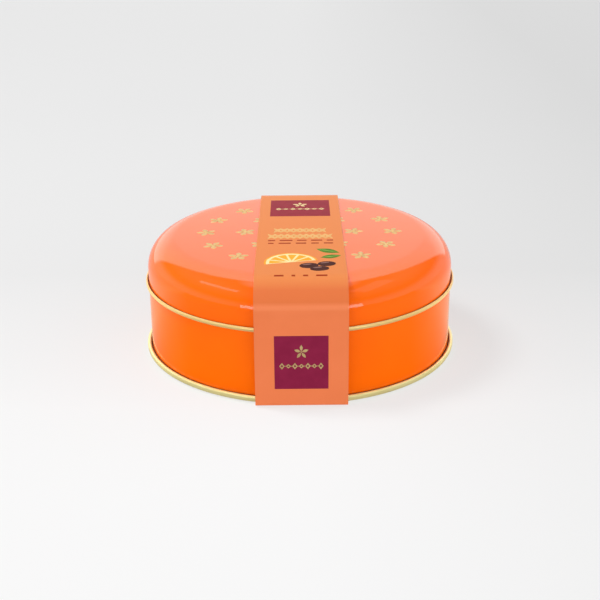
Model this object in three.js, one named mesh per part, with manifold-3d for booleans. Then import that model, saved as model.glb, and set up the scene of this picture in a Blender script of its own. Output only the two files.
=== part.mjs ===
// A shut round gift tin in a card sleeve: pressed lid, rolled edges, wall, bottom end and card loop.
// Millimetres, +Z up. The tin's axis is Z, the sleeve's face looks along -Y, and z = 0 is its underside.
import * as THREE from "three";
import { mergeVertices } from "three/addons/utils/BufferGeometryUtils.js";
import Module from "manifold-3d";

const wasm = await Module();
wasm.setup();

// Driving dimensions of the tin
const CURL_DIAMETER = 155;
const SEAM_DIAMETER = 156.8;
const SKIRT_DIAMETER = 152.2;
const BODY_DIAMETER = 152;
const TIN_HEIGHT = 57.6;
const CURL_HEIGHT = 35.6;
const SKIRT_HEIGHT = 6.8;
const SHOULDER_WIDTH = 14.8;
const TOP_RISE = 0.5;

// Rolled edge of the lid
const CURL_DEPTH = 2;
const CURL_WEB = 0.4;
const GROOVE = 0.4;

// Bottom end and its rolled seam
const SEAM_HEIGHT = 3;
const SEAM_FOOT_ROUND = 1.4;
const SEAM_TOP_ROUND = 0.8;
const SEAM_INNER_RADIUS = 75.2;
const PANEL_RECESS = 1.8;
const PANEL_THICKNESS = 0.6;
const PANEL_BEVEL = 0.6;

// Card sleeve
const CARD = 0.4;
const SLEEVE_WIDTH = 42.2;
const SLEEVE_OFFSET = 0.35;
const SLEEVE_SIDE_GAP = 0.3;
const SLEEVE_TOP_GAP = 0.25;
const SLEEVE_FOLD = 1.7;

// Raised blossoms on the lid, in rings
const BLOSSOM_RADIUS = 5.2;
const BLOSSOM_RELIEF = 0.2;
const BLOSSOM_SINK = 0.3;
const PETALS = 5;
const PETAL_DEPTH = 0.3;
const BLOSSOM_RINGS = [
  { radius: 46.5, count: 14 },
  { radius: 27, count: 8 },
];

// Fineness of the faceted surfaces
const ROUND_STEPS = 96;
const CURL_STEPS = 12;
const SHOULDER_STEPS = 10;
const TOP_STEPS = 5;
const FOLD_STEPS = 5;
const SEAM_STEPS = 4;
const PETAL_STEPS = 6;
const WELD_DISTANCE = 1e-4;

// Radii and levels worked out from the dimensions above
const curlRadius = CURL_DIAMETER / 2;
const seamRadius = SEAM_DIAMETER / 2;
const skirtRadius = SKIRT_DIAMETER / 2;
const bodyRadius = BODY_DIAMETER / 2;
const footLevel = CARD;
const panelLevel = footLevel + PANEL_RECESS;
const bodyFootLevel = panelLevel + PANEL_THICKNESS;
const curlLevel = footLevel + CURL_HEIGHT;
const lidFootLevel = curlLevel - CURL_WEB / 2;
const shoulderLevel = curlLevel + SKIRT_HEIGHT;
const shoulderHeight = footLevel + TIN_HEIGHT - TOP_RISE - shoulderLevel;
const flatRadius = skirtRadius - SHOULDER_WIDTH;

/** Points on an elliptical arc, from one angle to another, in degrees. */
function arc(centre, radii, from, to, steps) {
  const points = [];
  for (let i = 0; i <= steps; i++) {
    const angle = THREE.MathUtils.degToRad(from + ((to - from) * i) / steps);
    const across = centre[0] + radii[0] * Math.cos(angle);
    const up = centre[1] + radii[1] * Math.sin(angle);
    points.push(new THREE.Vector2(across, up));
  }
  return points;
}

/** Extra height of the gently domed top, at a distance from the tin's axis. */
function dome(distance) {
  return TOP_RISE * (1 - (distance / skirtRadius) ** 2);
}

/** Height of the lid's top surface at a distance from the axis, inside the shoulder. */
function topHeight(distance) {
  return shoulderLevel + shoulderHeight + dome(distance);
}

/** A closed body of revolution about Z, from a profile of radius and height. */
function turned(profile) {
  const geometry = new THREE.LatheGeometry(profile, ROUND_STEPS);
  geometry.rotateX(Math.PI / 2);
  return geometry;
}

/** A geometry as a solid that can be joined with others. */
function solid(geometry) {
  const bare = geometry.index ? geometry.toNonIndexed() : geometry.clone();
  bare.deleteAttribute("normal");
  bare.deleteAttribute("uv");
  const merged = mergeVertices(bare, WELD_DISTANCE);
  const mesh = new wasm.Mesh({
    numProp: 3,
    vertProperties: merged.attributes.position.array,
    triVerts: new Uint32Array(merged.index.array),
  });
  return new wasm.Manifold(mesh);
}

/** The surface of a solid, as a geometry. */
function surface(body) {
  const mesh = body.getMesh();
  const geometry = new THREE.BufferGeometry();
  geometry.setAttribute("position", new THREE.BufferAttribute(mesh.vertProperties, 3));
  geometry.setIndex(new THREE.BufferAttribute(mesh.triVerts, 1));
  geometry.computeVertexNormals();
  return geometry;
}

/** The pressed lid: underside, outward curl, skirt, rounded shoulder and domed top. */
function lidProfile() {
  const curlInner = bodyRadius + GROOVE;
  const curlRadii = [(curlRadius - curlInner) / 2, CURL_DEPTH / 2];
  const curlCentre = [curlRadius - curlRadii[0], curlLevel];
  const webAngle = THREE.MathUtils.radToDeg(Math.asin(CURL_WEB / CURL_DEPTH));
  const curl = arc(curlCentre, curlRadii, webAngle - 180, 180 - webAngle, CURL_STEPS);
  const shoulder = arc(
    [flatRadius, shoulderLevel],
    [SHOULDER_WIDTH, shoulderHeight],
    0,
    90,
    SHOULDER_STEPS,
  );
  shoulder.forEach((point) => (point.y += dome(point.x)));
  const top = [];
  for (let i = 1; i <= TOP_STEPS; i++) {
    const distance = flatRadius * (1 - i / TOP_STEPS);
    top.push(new THREE.Vector2(distance, topHeight(distance)));
  }
  return [
    new THREE.Vector2(0, lidFootLevel),
    ...curl,
    new THREE.Vector2(skirtRadius, curlLevel + CURL_WEB / 2),
    ...shoulder,
    ...top,
  ];
}

/** The outline of a five-petalled blossom, drawn about the origin. */
function blossomShape() {
  const steps = PETALS * PETAL_STEPS;
  const points = [];
  for (let i = 0; i < steps; i++) {
    const angle = (2 * Math.PI * i) / steps;
    const lobe = Math.abs(Math.cos((PETALS * angle) / 2));
    const reach = BLOSSOM_RADIUS * (1 - PETAL_DEPTH + PETAL_DEPTH * lobe);
    points.push(new THREE.Vector2(reach * Math.cos(angle), reach * Math.sin(angle)));
  }
  return new THREE.Shape(points);
}

/** One raised blossom, laid on the domed top at a distance and angle about the axis. */
function blossom(distance, angle) {
  const geometry = new THREE.ExtrudeGeometry(blossomShape(), {
    depth: BLOSSOM_RELIEF + BLOSSOM_SINK,
    bevelEnabled: false,
  });
  const slope = Math.atan((2 * TOP_RISE * distance) / skirtRadius ** 2);
  geometry.translate(0, 0, -BLOSSOM_SINK);
  geometry.rotateY(slope);
  geometry.translate(distance, 0, topHeight(distance));
  geometry.rotateZ(angle);
  return geometry;
}

/** The lid with its raised blossoms. */
function lid() {
  let body = solid(turned(lidProfile()));
  for (const ring of BLOSSOM_RINGS) {
    for (let i = 0; i < ring.count; i++) {
      const angle = (2 * Math.PI * i) / ring.count;
      body = body.add(solid(blossom(ring.radius, angle)));
    }
  }
  return surface(body);
}

/** The tin's straight wall, filled, between the bottom end and the lid. */
function body() {
  return turned([
    new THREE.Vector2(0, bodyFootLevel),
    new THREE.Vector2(bodyRadius, bodyFootLevel),
    new THREE.Vector2(bodyRadius, lidFootLevel),
    new THREE.Vector2(0, lidFootLevel),
  ]);
}

/** The bottom end: recessed panel, rounded foot and the rolled seam that stands proud. */
function base() {
  const seamInner = bodyRadius + GROOVE;
  const crownHalf = (seamRadius - seamInner) / 2;
  const crownLevel = footLevel + SEAM_HEIGHT - SEAM_TOP_ROUND;
  const footRadius = seamRadius - SEAM_FOOT_ROUND;
  const foot = arc(
    [footRadius, footLevel + SEAM_FOOT_ROUND],
    [SEAM_FOOT_ROUND, SEAM_FOOT_ROUND],
    -90,
    0,
    SEAM_STEPS,
  );
  const crown = arc(
    [seamRadius - crownHalf, crownLevel],
    [crownHalf, SEAM_TOP_ROUND],
    0,
    180,
    SEAM_STEPS * 2,
  );
  return turned([
    new THREE.Vector2(0, panelLevel),
    new THREE.Vector2(SEAM_INNER_RADIUS - PANEL_BEVEL, panelLevel),
    new THREE.Vector2(SEAM_INNER_RADIUS, panelLevel - PANEL_BEVEL),
    new THREE.Vector2(SEAM_INNER_RADIUS + PANEL_BEVEL, footLevel),
    ...foot,
    ...crown,
    new THREE.Vector2(seamInner, bodyFootLevel),
    new THREE.Vector2(0, bodyFootLevel),
  ]);
}

/** One closed line round the tin in the Y-Z plane, the card's inner face or its outer face. */
function sleeveLine(thickness) {
  const reach = seamRadius + SLEEVE_SIDE_GAP + thickness;
  const fold = SLEEVE_FOLD + thickness;
  const underside = footLevel - thickness;
  const crest = SLEEVE_TOP_GAP + thickness;
  const bend = [reach - flatRadius, shoulderHeight + crest];
  const right = [
    ...arc([reach - fold, underside + fold], [fold, fold], -90, 0, FOLD_STEPS),
    ...arc([flatRadius, shoulderLevel], bend, 0, 90, SHOULDER_STEPS),
  ];
  for (const point of right) {
    if (point.y > shoulderLevel) point.y += dome(point.x);
  }
  for (let i = 1; i < TOP_STEPS; i++) {
    const distance = flatRadius * (1 - i / TOP_STEPS);
    right.push(new THREE.Vector2(distance, topHeight(distance) + crest));
  }
  const left = right.map((point) => new THREE.Vector2(-point.x, point.y)).reverse();
  const middle = new THREE.Vector2(0, topHeight(0) + crest);
  return [...right, middle, ...left];
}

/** The card loop, over the lid, down both sides and under the tin. */
function sleeve() {
  const shape = new THREE.Shape(sleeveLine(CARD));
  shape.holes.push(new THREE.Path(sleeveLine(0)));
  const geometry = new THREE.ExtrudeGeometry(shape, {
    depth: SLEEVE_WIDTH,
    bevelEnabled: false,
  });
  geometry.translate(0, 0, -SLEEVE_WIDTH / 2);
  geometry.rotateX(Math.PI / 2);
  geometry.rotateZ(Math.PI / 2);
  return geometry;
}

/** A named mesh with its own finish. */
function piece(name, geometry, finish) {
  const mesh = new THREE.Mesh(geometry, new THREE.MeshStandardMaterial(finish));
  mesh.name = name;
  return mesh;
}

const orangeLacquer = { color: 0xff6b19, roughness: 0.2, metalness: 0 };
const goldTinplate = { color: 0xe6c887, roughness: 0.25, metalness: 1 };
const orangeCard = { color: 0xec7e4e, roughness: 0.6, metalness: 0 };

const tin = new THREE.Group();
tin.add(piece("lid", lid(), orangeLacquer));
tin.add(piece("body", body(), orangeLacquer));
tin.add(piece("base", base(), goldTinplate));

const wrap = new THREE.Group();
wrap.position.x = SLEEVE_OFFSET;
wrap.add(piece("sleeve", sleeve(), orangeCard));

const root = new THREE.Group();
root.add(tin, wrap);

export default root;
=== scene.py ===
"""Looks of a shut round gift tin in a card sleeve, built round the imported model.

Sizes are real ones in millimetres. Meshes are made in metres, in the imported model's own frame.
"""
import logging
import math
from dataclasses import dataclass, field
from enum import Enum
from functools import partial, reduce

import bmesh
import bpy
from mathutils import Matrix, Vector


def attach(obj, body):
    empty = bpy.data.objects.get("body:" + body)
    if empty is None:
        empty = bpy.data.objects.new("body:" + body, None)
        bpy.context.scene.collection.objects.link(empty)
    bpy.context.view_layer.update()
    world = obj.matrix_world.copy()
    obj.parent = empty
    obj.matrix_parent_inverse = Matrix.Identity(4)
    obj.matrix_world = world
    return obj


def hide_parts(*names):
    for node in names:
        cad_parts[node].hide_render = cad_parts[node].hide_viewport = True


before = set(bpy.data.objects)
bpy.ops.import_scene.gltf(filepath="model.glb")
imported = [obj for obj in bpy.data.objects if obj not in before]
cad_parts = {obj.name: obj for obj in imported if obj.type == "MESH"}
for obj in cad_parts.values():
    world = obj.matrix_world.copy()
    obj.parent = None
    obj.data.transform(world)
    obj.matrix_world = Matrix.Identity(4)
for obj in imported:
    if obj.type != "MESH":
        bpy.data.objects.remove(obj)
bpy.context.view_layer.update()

log = logging.getLogger("gift_tin")

MM = 0.001
ROOT_BODY = "root"
AXIS_TOLERANCE = 1e-6

Point = tuple[float, float]
Line = list[Point]
Colour = tuple[float, float, float]
Node = bpy.types.Node
Socket = bpy.types.NodeSocket


class Slot(Enum):
    """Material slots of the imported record."""

    LACQUER = "orange_lacquer"
    TINPLATE = "gold_tinplate"
    CARD = "orange_card"
    INK = "maroon_print"
    FOIL = "gold_print"


@dataclass(frozen=True)
class TinSizes:
    """Real sizes of the tin and its sleeve, in millimetres."""

    curl_diameter: float = 155.0
    seam_diameter: float = 156.8
    skirt_diameter: float = 152.2
    body_diameter: float = 152.0
    tin_height: float = 57.6
    curl_height: float = 35.6
    skirt_height: float = 6.8
    shoulder_width: float = 14.8
    top_rise: float = 0.5
    curl_depth: float = 2.0
    curl_web: float = 0.4
    groove: float = 0.4
    seam_height: float = 3.0
    seam_foot_round: float = 1.4
    seam_top_round: float = 0.8
    seam_inner_radius: float = 75.2
    panel_recess: float = 1.8
    panel_thickness: float = 0.6
    panel_bevel: float = 0.6
    card: float = 0.4
    sleeve_width: float = 42.2
    sleeve_offset: float = 0.35
    sleeve_side_gap: float = 0.3
    sleeve_top_gap: float = 0.25
    sleeve_fold: float = 1.7

    @property
    def foot_level(self) -> float:
        """Height of the tin's foot, which stands on the card."""
        return self.card

    @property
    def panel_level(self) -> float:
        """Height of the bottom panel's underside."""
        return self.foot_level + self.panel_recess

    @property
    def wall_foot(self) -> float:
        """Height at which the wall starts."""
        return self.panel_level + self.panel_thickness

    @property
    def curl_level(self) -> float:
        """Height of the middle of the lid's curl."""
        return self.foot_level + self.curl_height

    @property
    def lid_foot(self) -> float:
        """Height of the lid's underside."""
        return self.curl_level - self.curl_web / 2

    @property
    def shoulder_level(self) -> float:
        """Height at which the lid's skirt turns into the shoulder."""
        return self.curl_level + self.skirt_height

    @property
    def shoulder_rise(self) -> float:
        """Height of the rounded shoulder."""
        return self.foot_level + self.tin_height - self.top_rise - self.shoulder_level

    @property
    def skirt_radius(self) -> float:
        """Radius of the lid's skirt."""
        return self.skirt_diameter / 2

    @property
    def body_radius(self) -> float:
        """Radius of the wall."""
        return self.body_diameter / 2

    @property
    def flat_radius(self) -> float:
        """Radius at which the shoulder meets the top."""
        return self.skirt_radius - self.shoulder_width

    def dome(self, distance: float) -> float:
        """Extra height of the gently domed top at a distance from the axis."""
        return self.top_rise * (1 - (distance / self.skirt_radius) ** 2)

    def top_height(self, distance: float) -> float:
        """Height of the lid's top at a distance from the axis, inside the shoulder."""
        return self.shoulder_level + self.shoulder_rise + self.dome(distance)


def screen(red: int, green: int, blue: int) -> Colour:
    """Turn a colour as seen on a screen into linear light.

    Args:
        red: Red, 0 to 255.
        green: Green, 0 to 255.
        blue: Blue, 0 to 255.

    Returns:
        The linear colour, each part 0 to 1.
    """

    def linear(part: int) -> float:
        """Linear value of one part.

        Args:
            part: The part, 0 to 255.

        Returns:
            Its linear value.
        """
        share = part / 255
        if share <= 0.04045:
            return share / 12.92
        return ((share + 0.055) / 1.055) ** 2.4

    return (linear(red), linear(green), linear(blue))


def arc(centre: Point, radii: Point, start: float, end: float, steps: int) -> Line:
    """Points on an elliptical arc.

    Args:
        centre: Middle of the ellipse.
        radii: Its two half axes.
        start: First angle in degrees.
        end: Last angle in degrees.
        steps: Number of chords.

    Returns:
        The points, both ends included.
    """
    points = []
    for step in range(steps + 1):
        angle = math.radians(start + (end - start) * step / steps)
        across = centre[0] + radii[0] * math.cos(angle)
        points.append((across, centre[1] + radii[1] * math.sin(angle)))
    return points


def between(start: Point, end: Point, steps: int) -> Line:
    """Points strictly between two others, evenly spaced.

    Args:
        start: The first of the two.
        end: The second.
        steps: Number of gaps.

    Returns:
        The points in between.
    """
    return [
        (start[0] + (end[0] - start[0]) * step / steps,
         start[1] + (end[1] - start[1]) * step / steps)
        for step in range(1, steps)
    ]


def make_object(
    name: str,
    vertices: list[tuple[float, float, float]],
    faces: list[tuple[int, ...]],
    crease: float = 32.0,
) -> bpy.types.Object:
    """Make a smooth-shaded mesh object, with creases kept sharp.

    Args:
        name: Name of the piece.
        vertices: Places in metres.
        faces: Corners of each face.
        crease: Angle in degrees over which an edge stays sharp.

    Returns:
        The new object, linked to the scene.
    """
    mesh = bpy.data.meshes.new(name)
    mesh.from_pydata(vertices, [], faces)
    mesh.validate()
    mesh.shade_smooth()
    mesh.set_sharp_from_angle(angle=math.radians(crease))
    mesh.update()
    made = bpy.data.objects.new(name, mesh)
    bpy.context.scene.collection.objects.link(made)
    return made


def turned(name: str, profile: Line, segments: int, closed: bool = False) -> bpy.types.Object:
    """Turn a profile about the tin's axis.

    Args:
        name: Name of the piece.
        profile: Radius and height in millimetres, going round with its solid on the left.
        segments: Number of segments round the axis.
        closed: Whether the profile is a closed loop clear of the axis.

    Returns:
        The turned object.
    """
    vertices: list[tuple[float, float, float]] = []
    rings: list[list[int]] = []
    for radius, height in profile:
        first = len(vertices)
        if radius < AXIS_TOLERANCE:
            vertices.append((0.0, 0.0, height * MM))
            rings.append([first] * segments)
            continue
        for step in range(segments):
            angle = 2 * math.pi * step / segments
            across = (radius * math.cos(angle) * MM, radius * math.sin(angle) * MM)
            vertices.append((*across, height * MM))
        rings.append(list(range(first, first + segments)))
    pairs = list(zip(rings, rings[1:]))
    if closed:
        pairs.append((rings[-1], rings[0]))
    faces = []
    for lower, upper in pairs:
        for step in range(segments):
            after = (step + 1) % segments
            corners = (lower[step], lower[after], upper[after], upper[step])
            faces.append(tuple(dict.fromkeys(corners)))
    return make_object(name, vertices, faces)


class NodeBench:
    """Places and joins the nodes of one shader tree."""

    def __init__(self, tree: bpy.types.NodeTree) -> None:
        """Keep the tree to work in."""
        self.tree = tree

    def add(self, kind: str, **settings: object) -> Node:
        """Add a node.

        Args:
            kind: Blender's name for the node's type.
            settings: Properties to set on it.

        Returns:
            The new node.
        """
        node = self.tree.nodes.new(kind)
        for key, value in settings.items():
            setattr(node, key, value)
        return node

    def join(self, source: Socket, target: Socket) -> None:
        """Join an output to an input."""
        self.tree.links.new(source, target)

    def feed(self, target: Socket, value: object) -> None:
        """Join a socket to an input, or set the input to a plain value.

        Args:
            target: The input.
            value: A socket or a plain value.
        """
        if isinstance(value, Socket):
            self.join(value, target)
        else:
            target.default_value = value

    def fill(self, node: Node, values: dict[str, object]) -> None:
        """Feed a node's inputs by their names.

        Args:
            node: The node.
            values: A socket or a plain value for each input.
        """
        for name, value in values.items():
            self.feed(node.inputs[name], value)

    def math(self, kind: str, first: object, second: object = 0.0) -> Socket:
        """Do a sum on two values.

        Args:
            kind: The Math node's operation.
            first: A socket or a number.
            second: A socket or a number.

        Returns:
            The output socket.
        """
        node = self.add("ShaderNodeMath", operation=kind)
        self.feed(node.inputs[0], first)
        self.feed(node.inputs[1], second)
        return node.outputs[0]

    def total(self, *values: object) -> Socket:
        """Add up sockets and numbers."""
        return reduce(partial(self.math, "ADD"), values)

    def product(self, *values: object) -> Socket:
        """Multiply sockets and numbers."""
        return reduce(partial(self.math, "MULTIPLY"), values)

    def ramp(self, value: object, low: Point, high: Point) -> Socket:
        """Map a value from one range to another, clamped.

        Args:
            value: A socket or a number.
            low: The value at the range's start, and what it becomes.
            high: The value at the range's end, and what it becomes.

        Returns:
            The output socket.
        """
        node = self.add("ShaderNodeMapRange", clamp=True)
        self.fill(node, {"Value": value, "From Min": low[0], "From Max": high[0],
                         "To Min": low[1], "To Max": high[1]})
        return node.outputs["Result"]

    def blend(self, share: object, first: object, second: object) -> Socket:
        """Mix two colours.

        Args:
            share: How much of the second colour, a socket or a number.
            first: A socket or a linear colour.
            second: A socket or a linear colour.

        Returns:
            The output socket.
        """
        node = self.add("ShaderNodeMix", data_type="RGBA")
        self.feed(node.inputs["Factor"], share)
        for socket, value in ((node.inputs[6], first), (node.inputs[7], second)):
            self.feed(socket, (*value, 1.0) if isinstance(value, tuple) else value)
        return node.outputs[2]

    def scaled(self, colour: Socket, share: object) -> Socket:
        """Scale a colour.

        Args:
            colour: The colour.
            share: A socket or a number to scale it by.

        Returns:
            The output socket.
        """
        node = self.add("ShaderNodeVectorMath", operation="SCALE")
        self.join(colour, node.inputs[0])
        self.feed(node.inputs["Scale"], share)
        return node.outputs["Vector"]

    def split(self, vector: Socket) -> list[Socket]:
        """Split a vector into its X, Y and Z.

        Args:
            vector: The vector.

        Returns:
            The three output sockets.
        """
        parts = self.add("ShaderNodeSeparateXYZ")
        self.join(vector, parts.inputs["Vector"])
        return list(parts.outputs)

    def grey(self, level: Socket) -> Socket:
        """Make a grey of a level.

        Args:
            level: How light it is.

        Returns:
            The colour's output socket.
        """
        colour = self.add("ShaderNodeCombineColor")
        for socket in colour.inputs:
            self.join(level, socket)
        return colour.outputs["Color"]


class EffectGroup:
    """A shader node group with named inputs and one value as its output."""

    def __init__(self, name: str, inputs: dict[str, float]) -> None:
        """Start the group.

        Args:
            name: Name of the group.
            inputs: Its input sockets with their first values.
        """
        self.tree = bpy.data.node_groups.new(name, "ShaderNodeTree")
        add_socket = self.tree.interface.new_socket
        for label, value in inputs.items():
            socket = add_socket(label, in_out="INPUT", socket_type="NodeSocketFloat")
            socket.default_value = value
        add_socket("Coordinates", in_out="INPUT", socket_type="NodeSocketVector")
        add_socket("Value", in_out="OUTPUT", socket_type="NodeSocketFloat")
        self.bench = NodeBench(self.tree)
        self.given = self.bench.add("NodeGroupInput").outputs
        self.result = self.bench.add("NodeGroupOutput").inputs["Value"]

    def place(self, bench: NodeBench, coordinates: Socket, **values: float) -> Socket:
        """Place the group in a material.

        Args:
            bench: The material's bench.
            coordinates: Where on the surface, in metres.
            values: The material's own values for the group's inputs.

        Returns:
            The group's output.
        """
        node = bench.add("ShaderNodeGroup", node_tree=self.tree)
        bench.fill(node, {**values, "Coordinates": coordinates})
        return node.outputs["Value"]


@dataclass
class Effects:
    """Effects that several finishes share."""

    mottle: EffectGroup = field(init=False)
    grain: EffectGroup = field(init=False)
    marks: EffectGroup = field(init=False)

    def __post_init__(self) -> None:
        """Build the groups once."""
        self.mottle = self._noise("soft_mottle", 40.0, 3.0)
        self.grain = self._noise("fine_grain", 2500.0, 2.0)
        self.marks = self._marks()

    def _noise(self, name: str, scale: float, detail: float) -> EffectGroup:
        """Make a plain even noise.

        Args:
            name: Name of the group.
            scale: Patches to the metre.
            detail: How much finer detail lies in it.

        Returns:
            The group.
        """
        group = EffectGroup(name, {"Scale": scale, "Detail": detail, "Stretch": 1.0})
        bench, given = group.bench, group.given
        stretch = bench.add("ShaderNodeCombineXYZ")
        bench.fill(stretch, {"X": 1.0, "Y": 1.0, "Z": given["Stretch"]})
        scaled = bench.add("ShaderNodeVectorMath", operation="MULTIPLY")
        bench.join(given["Coordinates"], scaled.inputs[0])
        bench.join(stretch.outputs["Vector"], scaled.inputs[1])
        noise = bench.add("ShaderNodeTexNoise")
        bench.fill(noise, {"Vector": scaled.outputs["Vector"], "Scale": given["Scale"],
                           "Detail": given["Detail"]})
        bench.join(noise.outputs["Fac"], group.result)
        return group

    def _marks(self) -> EffectGroup:
        """Make faint rubs and hairlines from handling, gathered in patches.

        Returns:
            The group, whose value is 0 on a clean surface and 1 in a mark.
        """
        group = EffectGroup("handling_marks", {"Scale": 300.0, "Amount": 0.3})
        bench, given = group.bench, group.given
        drawn = bench.add("ShaderNodeMapping")
        bench.fill(drawn, {"Vector": given["Coordinates"], "Rotation": (0.4, 0.3, 0.9),
                           "Scale": (0.12, 1.0, 1.0)})
        lines = bench.add("ShaderNodeTexNoise")
        bench.fill(lines, {"Vector": drawn.outputs["Vector"], "Scale": given["Scale"],
                           "Detail": 4.0})
        patches = bench.add("ShaderNodeTexNoise")
        bench.fill(patches, {"Vector": given["Coordinates"], "Scale": 22.0})
        hair = bench.ramp(lines.outputs["Fac"], (0.58, 0.0), (0.72, 1.0))
        where = bench.ramp(patches.outputs["Fac"], (0.42, 0.0), (0.65, 1.0))
        bench.join(bench.product(hair, where, given["Amount"]), group.result)
        return group


@dataclass(frozen=True)
class Finish:
    """A finish: two tones in patches, grain with a relief, rubs, and metal or a clear coat.

    Patches, grain and rubs are given by their number to the metre, and 0 leaves them out. With no
    patches, the grain carries the two tones.
    """

    name: str = "plain_finish"
    colour: Colour = (0.8, 0.8, 0.8)
    deep: Colour = (0.7, 0.7, 0.7)
    roughness: float = 0.5
    rougher_by: float = 0.1
    patches: float = 0.0
    patch_stretch: float = 1.0
    patch_spread: float = 0.2
    grain: float = 3200.0
    grain_stretch: float = 1.0
    relief: float = 0.002
    rubs: float = 0.0
    rub_strength: float = 0.0
    metal: float = 0.0
    gloss: float = 0.5
    coat: float = 0.0
    coat_roughness: float = 0.03
    coat_ior: float = 1.5

    def material(self, effects: Effects) -> bpy.types.Material:
        """Make the finish's material.

        Args:
            effects: The shared effects.

        Returns:
            The material.
        """
        made = bpy.data.materials.new(self.name)
        made.use_nodes = True
        bench = NodeBench(made.node_tree)
        self.shade(bench, made.node_tree.nodes["Principled BSDF"], effects)
        return made

    def shade(self, bench: NodeBench, shader: Node, effects: Effects) -> None:
        """Set up the shader from the finish's values.

        Args:
            bench: The material's bench.
            shader: Its shader.
            effects: The shared effects.
        """
        where = bench.add("ShaderNodeTexCoord").outputs["Object"]
        grain = effects.grain.place(bench, where, Scale=self.grain, Stretch=self.grain_stretch)
        pattern = grain
        if self.patches:
            pattern = effects.mottle.place(bench, where, Scale=self.patches,
                                           Stretch=self.patch_stretch)
        share = bench.ramp(pattern, (0.5 - self.patch_spread, 0.0), (0.5 + self.patch_spread, 1.0))
        rough = bench.ramp(grain, (0.3, self.roughness), (0.7, self.roughness + self.rougher_by))
        if self.rubs:
            rubs = effects.marks.place(bench, where, Scale=self.rubs, Amount=self.rub_strength)
            rough = bench.total(rubs, rough)
        bump = bench.add("ShaderNodeBump")
        bench.fill(bump, {"Strength": 1.0, "Distance": self.relief * MM, "Height": grain})
        bench.fill(shader, {
            "Base Color": self.toned(bench, bench.blend(share, self.colour, self.deep)),
            "Roughness": rough,
            "Normal": bump.outputs["Normal"],
            "Metallic": self.metal,
            "Specular IOR Level": self.gloss,
            "Coat Weight": self.coat,
            "Coat Roughness": self.coat_roughness,
            "Coat IOR": self.coat_ior,
        })

    def toned(self, bench: NodeBench, colour: Socket) -> Socket:
        """Leave the colour as it is. A finish that varies it further has its own."""
        return colour


@dataclass(frozen=True)
class OrangeLacquer(Finish):
    """Bright orange lacquer with a fine peel and a hard clear gloss over it."""

    name: str = "glossy_orange_lacquer"
    colour: Colour = (1.0, 0.150, 0.001)
    deep: Colour = (0.99, 0.140, 0.001)
    roughness: float = 0.45
    rougher_by: float = 0.0
    patches: float = 28.0
    patch_spread: float = 0.15
    grain: float = 900.0
    relief: float = 0.004
    rubs: float = 420.0
    rub_strength: float = 0.25
    gloss: float = 0.0
    coat: float = 1.0
    coat_ior: float = 1.45


@dataclass(frozen=True)
class GoldTinplate(Finish):
    """Gold-lacquered tinplate with fine lines along its roll, and rubs that dull it."""

    name: str = "rolled_gold_tinplate"
    colour: Colour = (1.0, 0.88, 0.42)
    deep: Colour = (0.94, 0.80, 0.34)
    roughness: float = 0.3
    patches: float = 90.0
    patch_stretch: float = 3.0
    grain: float = 120.0
    grain_stretch: float = 40.0
    relief: float = 0.006
    rubs: float = 700.0
    rub_strength: float = 0.35
    metal: float = 0.45


@dataclass(frozen=True)
class GrooveShade(Finish):
    """Dark brown painted shade, laid as a thin ring in the grooves of the rolled edges."""

    name: str = "painted_groove_shade"
    colour: Colour = (0.16, 0.045, 0.010)
    deep: Colour = (0.08, 0.022, 0.006)
    roughness: float = 0.6
    rougher_by: float = 0.2
    patches: float = 120.0
    grain: float = 1800.0
    relief: float = 0.02
    gloss: float = 0.2


@dataclass(frozen=True)
class OrangeCard(Finish):
    """Printed satin card with a paler core at its cut edges, and painted light over its bend."""

    name: str = "printed_orange_card"
    colour: Colour = (0.825, 0.213, 0.081)
    deep: Colour = (0.795, 0.201, 0.074)
    roughness: float = 0.45
    patches: float = 60.0
    rubs: float = 350.0
    rub_strength: float = 0.12
    gloss: float = 0.0
    coat: float = 1.0
    coat_roughness: float = 0.10
    coat_ior: float = 1.06
    # crease is a painted highlight low on the bend, bend a painted shade across its middle; crown
    # is a yellower top
    crease: Colour = (0.84, 0.235, 0.095)
    bend: Colour = (0.735, 0.181, 0.059)
    crown: Colour = (0.80, 0.256, 0.080)
    core: Colour = (0.93, 0.52, 0.34)

    def toned(self, bench: NodeBench, colour: Socket) -> Socket:
        """Paint a highlight and shade on the bend, and show the core where a face looks sideways.

        Args:
            bench: The material's bench.
            colour: The colour of the upright card.

        Returns:
            The changed colour.
        """
        aside, _, up = bench.split(bench.add("ShaderNodeTexCoord").outputs["Normal"])
        # Painted highlight low on the bend, painted shade across its middle, then a yellower tone
        # on the top
        for start, end, tone in (
            (0.28, 0.35, self.crease), (0.42, 0.54, self.bend), (0.80, 0.98, self.crown),
        ):
            colour = bench.blend(bench.ramp(up, (start, 0.0), (end, 1.0)), colour, tone)
        cut = bench.ramp(bench.math("ABSOLUTE", aside), (0.8, 0.0), (0.95, 1.0))
        return bench.blend(cut, colour, self.core)


@dataclass(frozen=True)
class BareBoard(Finish):
    """Pale unprinted board with fine fibres, the inside of the sleeve."""

    name: str = "bare_board"
    colour: Colour = (0.84, 0.80, 0.74)
    deep: Colour = (0.76, 0.71, 0.64)
    roughness: float = 0.85
    grain: float = 1400.0
    grain_stretch: float = 3.0
    relief: float = 0.006
    gloss: float = 0.2


@dataclass(frozen=True)
class PrintedInk(Finish):
    """An ink on the card, with the card's own fibre under it."""

    roughness: float = 0.4
    rougher_by: float = 0.08
    patches: float = 260.0
    patch_spread: float = 0.15
    gloss: float = 0.0
    coat: float = 1.0
    coat_roughness: float = 0.10
    coat_ior: float = 1.06


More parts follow.
